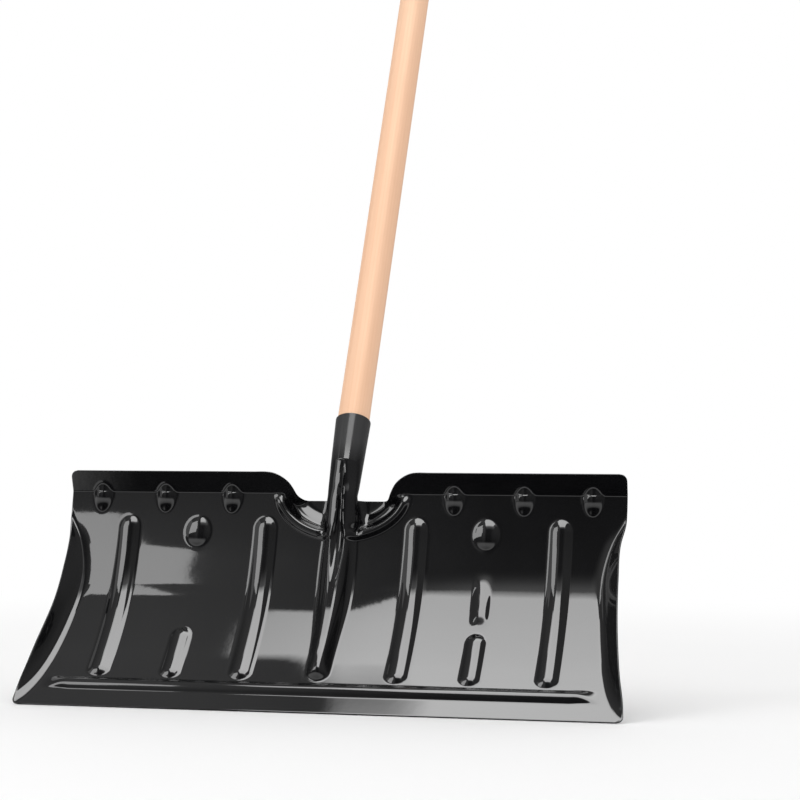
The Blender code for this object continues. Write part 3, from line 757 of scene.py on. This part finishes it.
def turned_wood():
    nodes = material_nodes("turned_wood")
    # the grain runs along the handle: turn its axis onto Z, then stretch
    local = nodes.mapping(nodes.coords(), rotation=(HANDLE_LEAN, 0, 0))

    def grain(scale, detail, roughness):
        return nodes.noise(nodes.mapping(local, scale=scale), scale=1.0, detail=detail,
                           roughness=roughness)

    fibre = grain(scale=(420, 420, 9), detail=4.0, roughness=0.6)
    streak = grain(scale=(90, 90, 2.2), detail=3.0, roughness=0.55)
    broad = grain(scale=(26, 26, 1.6), detail=2.0, roughness=0.5)
    bend = grain(scale=(6, 6, 1.5), detail=1.0, roughness=0.5)
    # growth rings about a centre outside the pole
    x, y, _ = nodes.split(local)
    from_x = nodes.plus(x, offset=0.031)
    from_y = nodes.plus(y, nodes.plus(nodes.times(bend, factor=0.010), offset=0.020))
    distance = nodes.math("SQRT", nodes.plus(nodes.times(from_x, from_x),
                                             nodes.times(from_y, from_y)))
    distance = nodes.plus(distance, nodes.times(streak, factor=0.0012))
    ring = nodes.math("FRACT", nodes.times(distance, factor=300.0))
    late = nodes.ramp(ring, ((0.0, BLACK), (0.72, (0.25, 0.25, 0.25)), (0.93, WHITE),
                             (1.0, BLACK)))
    pale, tan = (0.875, 0.568, 0.382), (0.825, 0.503, 0.322)
    late_brown, fibre_brown = (0.75, 0.422, 0.255), (0.70, 0.40, 0.25)
    base = nodes.mix(nodes.ramp(broad, ((0.35, BLACK), (0.68, WHITE))), pale, tan)
    base = nodes.mix(nodes.times(late, factor=0.30), base, late_brown)
    dark_fibre = nodes.ramp(fibre, ((0.38, BLACK), (0.62, WHITE)))
    nodes.principled({
        "Base Color": nodes.mix(nodes.times(dark_fibre, factor=0.12), base, fibre_brown),
        "Roughness": nodes.plus(nodes.times(fibre, factor=0.22), offset=0.36),
        "Normal": nodes.bump(late, distance=0.00003,
                             normal=nodes.bump(fibre, distance=0.00006)),
        "Specular IOR Level": 0.35})
    return nodes.owner


def zinc():
    nodes = material_nodes("zinc_plated_steel")
    place = nodes.coords()
    cloud = nodes.noise(place, scale=260.0, detail=4.0, roughness=0.6)
    fine = nodes.noise(place, scale=2600.0, detail=2.0, roughness=0.6)
    nodes.principled({
        "Base Color": nodes.ramp(cloud, ((0.3, (0.52, 0.53, 0.56)), (0.7, (0.66, 0.66, 0.66)))),
        "Roughness": nodes.plus(nodes.times(cloud, factor=0.18), offset=0.22),
        "Normal": nodes.bump(fine, distance=0.00001),
        "Metallic": 1.0})
    return nodes.owner


def pale_floor():
    """Matt pale floor that runs into the backdrop's white a couple of metres away."""
    nodes = material_nodes("pale_floor")
    place = nodes.coords()
    cloud = nodes.noise(place, scale=3.0, detail=3.0, roughness=0.5)
    dim, light = (0.93, 0.93, 0.93), (0.95, 0.95, 0.95)
    nodes.principled({
        "Base Color": nodes.mix(cloud, dim, light),
        "Roughness": 0.7,
        "Specular IOR Level": 0.2})
    far = nodes.add("ShaderNodeVectorMath", {0: place}, operation="LENGTH").outputs["Value"]
    fade = nodes.glide(far, between=(0.7, 2.2))
    glow = nodes.add("ShaderNodeEmission", {"Color": WHITE})
    nodes.mix_to_output(fade, nodes.nodes["Principled BSDF"].outputs[0], glow.outputs[0])
    return nodes.owner


paint, wood, steel = black_paint(), turned_wood(), zinc()


# ---------------------------------------------------------------- blade
BLADE_SHARP, HANDLE_SHARP, SCREW_SHARP = 42.0, 50.0, 32.0   # degrees over which edges stay hard

blade = mesh_piece("pressed_blade", *thicken(*sheet_surface(), SHEET), paint, BLADE_SHARP)
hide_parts("blade")
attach(blade, "root")


# ---------------------------------------------------------------- handle
def handle_profile():
    """(along, radius) from the end in the socket to the rounded top."""
    def inner(along):
        return socket_r(along) - SHEET - HANDLE_GAP

    low = -HANDLE_IN
    profile = [(low, inner(low) - 2.0), (low + 1.0, inner(low) - 0.9), (low + 3.0, inner(low + 3.0))]
    profile += [(along, inner(along)) for along in np.linspace(-50, -1, 8)]
    profile += [(0.0, inner(0.0)), (1.5, inner(0.0) + 0.02), (4.0, HANDLE_R - 0.05),
                (6.0, HANDLE_R)]
    profile += [(along, HANDLE_R) for along in np.linspace(26, HANDLE_TOP - 9.5, 56)]
    profile += [(HANDLE_TOP - TIP_L + TIP_L * math.sin(angle),
                 HANDLE_R - TIP_INSET * (1 - math.cos(angle)))
                for angle in np.radians(np.arange(0, 91, 7.5))]
    return profile + [(HANDLE_TOP, HANDLE_R - 8.0), (HANDLE_TOP, 3.0)]


def handle_wobble(along, angle):
    """A turned pole is a little out of round, by less than a tenth of a millimetre or so."""
    k = step(np.array((along - 4.0) / 20.0))
    return k * (0.0035 * math.sin(2 * angle + 0.7 + along * 0.002)
                + 0.0022 * math.sin(3 * angle + 1.9 - along * 0.0031)
                + 0.0015 * math.sin(along * 0.021 + angle)) - 0.003 * k


handle = mesh_piece("turned_handle", *lathe(handle_profile(), MOUTH, AXIS, 112, handle_wobble),
                    wood, HANDLE_SHARP)
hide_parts("handle")
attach(handle, "root")


# ---------------------------------------------------------------- screw, at the socket's back left
SCREW_OUT = -math.sin(SCREW_ANGLE) * np.array((1.0, 0, 0)) + math.cos(SCREW_ANGLE) * FRONT
SEAT = MOUTH + SCREW_AT * AXIS + (socket_r(SCREW_AT) + 0.3) * SCREW_OUT


def screw_profile():
    """(distance out from the seat, radius) from the point to the head's crown."""
    profile = [(-21.0, 0.35), (-19.5, 0.9), (-17.0, 1.75)]
    thread = -16.6
    while thread < -2.0:                      # the thread, as turned ridges
        profile += [(thread, 1.55), (thread + 0.55, 2.0), (thread + 0.75, 2.0)]
        thread += 1.4
    return profile + [
        (-1.0, 1.7), (0.0, 1.7), (0.0, 3.95), (0.12, 4.15), (0.35, 4.2), (0.8, 4.2),
        (1.15, 4.08), (1.6, 3.75), (2.0, 3.2), (2.3, 2.55), (2.46, 1.8), (SCREW_HEAD_H, 0.9)]


screw = mesh_piece("socket_screw_fine", *lathe(screw_profile(), SEAT, SCREW_OUT, 48), steel,
                   SCREW_SHARP)
recess = cross_body(SEAT + SCREW_HEAD_H * SCREW_OUT, SCREW_OUT, depth=1.9, reach=2.1, half=0.42)
cut(screw, mesh_piece("recess_tool", *recess, steel), SCREW_SHARP)
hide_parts("socket_screw")
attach(screw, "root")

# the screw's holes through the socket and into the pole
for target, bottom, sharp in ((blade, -3.2, BLADE_SHARP), (handle, -23.0, HANDLE_SHARP)):
    bore = lathe([(bottom, BORE_R), (1.8, BORE_R)], SEAT, SCREW_OUT, 36)
    cut(target, mesh_piece("bore_tool", *bore, paint), sharp)


# ---------------------------------------------------------------- camera
camera_data = bpy.data.cameras.new("camera")
camera_data.sensor_width = 36.0
camera_data.lens = 99.12
camera_data.clip_end = 60.0
camera = add_object("camera", camera_data)
CAMERA_RIGHT = (0.975207519, 0.221144349, 0.008091410)
CAMERA_UP = (0.000273953, -0.037770792, 0.999286391)
CAMERA_BACK = (0.221292157, -0.974509386, -0.036894944)
CAMERA_PLACE = (0.54276, -2.00761, 0.21809)
camera.matrix_world = Matrix([*zip(CAMERA_RIGHT, CAMERA_UP, CAMERA_BACK, CAMERA_PLACE),
                              (0, 0, 0, 1)])
SCENE.camera = camera


# ---------------------------------------------------------------- floor and soft boxes, in metres
def panel(name, corners, material):
    mesh = bpy.data.meshes.new(name)
    mesh.from_pydata(corners, [], [tuple(range(len(corners)))])
    return add_object(name, mesh, material)


FLOOR_HALF, FLOOR_Z = 40, -0.0009
floor = panel("floor", [(x * FLOOR_HALF, y * FLOOR_HALF, FLOOR_Z)
                        for x, y in ((-1, -1), (1, -1), (1, 1), (-1, 1))], pale_floor())
floor.visible_glossy = False


def card(name, corners, strength, pattern=None):
    """Glowing panel seen only in reflections; pattern(nodes, x, y) may vary its strength."""
    nodes = material_nodes(name)
    nodes.nodes.remove(nodes.nodes["Principled BSDF"])
    emission = nodes.add("ShaderNodeEmission", {"Color": WHITE})
    if pattern:
        x, y, _ = nodes.split(nodes.coords())
        strength = nodes.times(pattern(nodes, x, y), strength)
    nodes.feed(emission.inputs["Strength"], strength)
    # glow into reflections only, and let every other ray pass
    path = nodes.add("ShaderNodeLightPath")
    clear = nodes.add("ShaderNodeBsdfTransparent").outputs[0]
    glow = nodes.add("ShaderNodeAddShader", {0: clear, 1: emission.outputs[0]})
    nodes.mix_to_output(path.outputs["Is Glossy Ray"], clear, glow.outputs[0])
    box = panel(name, corners, nodes.owner)
    box.visible_camera = False
    box.visible_diffuse = False
    box.visible_shadow = False
    box.visible_transmission = False


def overhead_pattern(nodes, x, y):
    """Soft-edged panel whose front-left corner is cut back."""
    def within(high, low, softness):
        part = nodes.math("DIVIDE", nodes.math("SUBTRACT", high, low), softness)
        return nodes.math("ADD", nodes.times(part, factor=0.5), 0.5, clamp=True)

    front = nodes.glide(x, between=(-0.65, -0.53), levels=(-1.03, -1.70))
    rear = nodes.plus(nodes.glide(x, between=(-0.70, -0.56), levels=(-0.18, 0.04)),
                      nodes.glide(x, between=(-0.50, -0.28), levels=(0.0, 0.45)))
    front_soft = nodes.glide(x, between=(-0.62, -0.45), levels=(0.05, 0.13), kind="LINEAR")
    rear_soft = nodes.glide(x, between=(-0.70, -0.52), levels=(0.05, 0.18), kind="LINEAR")
    depth = nodes.times(within(y, front, front_soft), within(rear, y, rear_soft))
    left = nodes.times(nodes.glide(x, between=(-0.84, -0.78)),
                       nodes.glide(x, between=(-0.80, -0.45), levels=(0.74, 1.0)))
    right = nodes.glide(x, between=(0.95, 0.86))
    return nodes.times(depth, nodes.times(left, right))


def halo_pattern(nodes, x, y):
    """Brightest along one line across, fading to front, rear and left."""
    depth = nodes.times(nodes.glide(y, between=(-2.75, -1.79)),
                        nodes.glide(y, between=(-1.53, -1.79), kind="LINEAR"))
    return nodes.times(nodes.glide(x, between=(-0.70, -0.35)), nodes.times(depth, depth))


def level_corners(left, right, front, rear, z):
    return [(left, front, z), (right, front, z), (right, rear, z), (left, rear, z)]


OVERHEAD_Z = 2.4
CARD_Y, WALL_X = -1.5, -2.6
LEFT_OUTLINE = (                  # x, z of the left card's outline
    (-0.87, 0.86), (-0.87, 1.17), (-0.79, 1.23), (-0.80, 1.31), (-0.88, 1.65), (-0.95, 1.97),
    (-1.09, 2.03), (-1.11, 2.45), (-1.14, 2.50), (-1.32, 2.52), (WALL_X, 2.56), (WALL_X, 0.86))
card("overhead_card", level_corners(left=-1.0, right=1.1, front=-2.0, rear=0.8, z=OVERHEAD_Z),
     strength=8.8, pattern=overhead_pattern)
card("overhead_halo",
     level_corners(left=-0.9, right=1.2, front=-2.9, rear=-1.5, z=OVERHEAD_Z + 0.02),
     strength=1.2, pattern=halo_pattern)
card("left_card", [(x, CARD_Y, z) for x, z in LEFT_OUTLINE], strength=5.4)
card("left_wall", [(WALL_X, y, z) for y, z in ((CARD_Y, 0.5), (-0.5, 0.5), (-0.5, 2.6),
                                               (CARD_Y, 2.6))], strength=0.8)

# ---------------------------------------------------------------- world
SCENE.world = bpy.data.worlds.new("studio")
sky = Nodes(SCENE.world)
even = sky.nodes["Background"]
sky.feed(even.inputs["Color"], WHITE)
sky.feed(even.inputs["Strength"], 1.0)


def level_by(direction, stops):
    """Brightness along one direction, -1 to 1; stops are (direction, level)."""
    scaled = sky.glide(direction, between=(-1.0, 1.0), kind="LINEAR")
    node = sky.add("ShaderNodeFloatCurve", {"Value": scaled})
    curve = node.mapping.curves[0]
    top = max(level for _, level in stops)
    while len(curve.points) < len(stops):
        curve.points.new(0.5, 0.5)
    for point, (x, level) in zip(curve.points, stops):
        point.location = ((x + 1.0) / 2.0, level / top)
        point.handle_type = "VECTOR"
    node.mapping.update()
    return sky.times(node.outputs[0], factor=top)


# what the paint mirrors: a dim room in front of the blade, the pale backdrop behind it
across, depth, height = sky.split(sky.coords("Generated"))
room = level_by(height, (
    (-1.0, 0.03), (-0.10, 0.10), (0.10, 0.30), (0.25, 0.60), (0.60, 1.0), (1.0, 1.0)))
side = level_by(across, (
    (-1.0, 0.28), (-0.45, 0.50), (-0.33, 0.68), (-0.28, 0.56), (-0.21, 0.24), (-0.16, 0.13),
    (0.12, 0.13), (0.32, 0.34), (1.0, 0.40)))
horizon = level_by(height, (
    (-1.0, 0.0), (-0.16, 0.0), (-0.10, 0.9), (-0.03, 1.3), (0.05, 1.3), (0.09, 0.4),
    (0.13, 0.0), (1.0, 0.0)))
far_left = level_by(across, (
    (-1.0, 1.3), (-0.372, 1.3), (-0.352, 0.35), (-0.338, 0.0), (1.0, 0.0)))
low = level_by(height, ((-1.0, 1.0), (-0.40, 1.0), (-0.25, 0.0), (1.0, 0.0)))
glow = sky.math("MULTIPLY_ADD", far_left, low, horizon)
ahead = sky.math("MULTIPLY_ADD", room, side, glow)
behind = level_by(height, (
    (-1.0, 0.15), (-0.1, 0.15), (0.0, 0.25), (0.15, 0.2), (0.35, 0.12), (0.7, 0.15), (1.0, 0.5)))
rearward = level_by(depth, ((-1.0, 0.0), (-0.1, 0.0), (0.35, 1.0), (1.0, 1.0)))
mirrored = sky.add("ShaderNodeMix", {0: rearward, 2: ahead, 3: behind}, data_type="FLOAT")
dim = sky.add("ShaderNodeBackground", {"Color": WHITE, "Strength": mirrored.outputs[0]})
path = sky.add("ShaderNodeLightPath")
sky.mix_to_output(path.outputs["Is Glossy Ray"], even.outputs[0], dim.outputs[0])

# ---------------------------------------------------------------- key light, from the front left
KEY_PLACE, KEY_TARGET = Vector((-2.2, -2.4, 2.4)), Vector((0.0, 0.2, 0.4))
key_data = bpy.data.lights.new("key", "AREA")
key_data.shape = "RECTANGLE"
key_data.size = key_data.size_y = 1.6
key_data.energy = 22.0
key = add_object("key", key_data)
key.location = KEY_PLACE
key.rotation_euler = (KEY_TARGET - KEY_PLACE).to_track_quat("-Z", "Y").to_euler()
key.visible_glossy = False

SCENE.view_settings.view_transform = "Standard"
SCENE.view_settings.look = "None"
